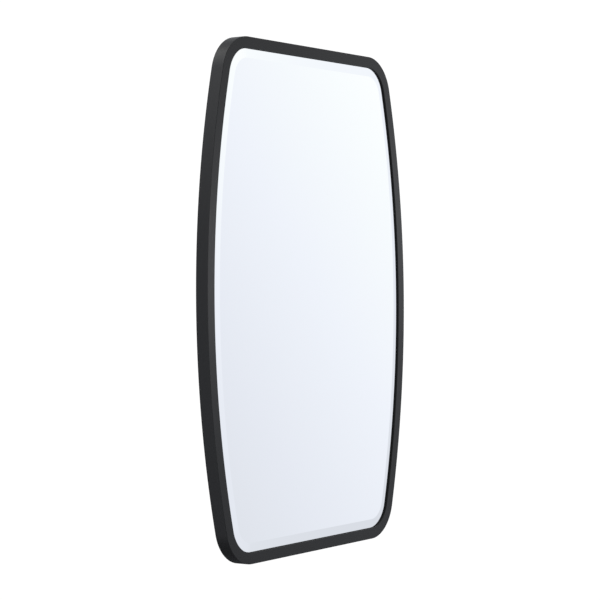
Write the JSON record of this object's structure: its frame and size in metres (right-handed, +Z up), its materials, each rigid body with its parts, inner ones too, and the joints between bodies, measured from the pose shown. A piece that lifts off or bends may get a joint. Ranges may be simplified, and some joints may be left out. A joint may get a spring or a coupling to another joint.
{
  "type": "framed wall mirror",
  "caption": "Bevelled wall mirror in a black steel tube frame with bowed sides, straight ends and round corners, hung on swinging D rings.",
  "frame": {"origin": "centre of the wall plane that the felt bumpers rest on, at mid width and mid height", "axes": "+X to the right as seen from the front, +Y into the wall, +Z up; the mirror faces -Y"},
  "size_m": [0.6428, 0.027, 0.914],
  "materials": {
    "black_powder_coat": "satin black powder coat",
    "mirror_glass": "silvered glass with a polished bevel",
    "foam_tape": "white foam tape",
    "fibreboard": "raw medium-density fibreboard",
    "zinc_screws": "bright zinc plate",
    "plated_strap": "pressed steel, nickel plated",
    "plated_ring": "plated steel wire",
    "felt": "pressed felt"
  },
  "bodies": {
    "mirror": {"side_rail_left": "black_powder_coat", "side_rail_right": "black_powder_coat", "top_rail": "black_powder_coat", "bottom_rail": "black_powder_coat", "corner_top_left": "black_powder_coat", "corner_top_right": "black_powder_coat", "corner_bottom_left": "black_powder_coat", "corner_bottom_right": "black_powder_coat", "mirror_glass": "mirror_glass", "tape_strip_1": "foam_tape", "tape_strip_2": "foam_tape", "tape_strip_3": "foam_tape", "tape_strip_4": "foam_tape", "tape_strip_5": "foam_tape", "backing_board": "fibreboard", "tab_left_upper": "black_powder_coat", "tab_left_middle": "black_powder_coat", "tab_left_lower": "black_powder_coat", "tab_right_upper": "black_powder_coat", "tab_right_middle": "black_powder_coat", "tab_right_lower": "black_powder_coat", "tab_top": "black_powder_coat", "tab_bottom": "black_powder_coat", "tab_screws": "zinc_screws", "hanger_strap_upper_left": "plated_strap", "hanger_strap_upper_right": "plated_strap", "hanger_strap_side_upper": "plated_strap", "hanger_strap_side_lower": "plated_strap", "hanger_screws": "zinc_screws", "felt_bumpers": "felt"},
    "ring_upper_left": {"ring_upper_left": "plated_ring"},
    "ring_upper_right": {"ring_upper_right": "plated_ring"},
    "ring_side_upper": {"ring_side_upper": "plated_ring"},
    "ring_side_lower": {"ring_side_lower": "plated_ring"}
  },
  "joints": [
    {"name": "ring_swing_upper_left", "type": "hinge", "parent": "mirror", "child": "ring_upper_left", "pos_m": [-0.15, -0.00755, 0.33], "axis": [1, 0, 0], "range_deg": [0, 180]},
    {"name": "ring_swing_upper_right", "type": "hinge", "parent": "mirror", "child": "ring_upper_right", "pos_m": [0.15, -0.00755, 0.33], "axis": [1, 0, 0], "range_deg": [0, 180]},
    {"name": "ring_swing_side_upper", "type": "hinge", "parent": "mirror", "child": "ring_side_upper", "pos_m": [0.24, -0.00755, 0.2], "axis": [0, 0, -1], "range_deg": [0, 180]},
    {"name": "ring_swing_side_lower", "type": "hinge", "parent": "mirror", "child": "ring_side_lower", "pos_m": [0.24, -0.00755, -0.2], "axis": [0, 0, -1], "range_deg": [0, 180]}
  ]
}
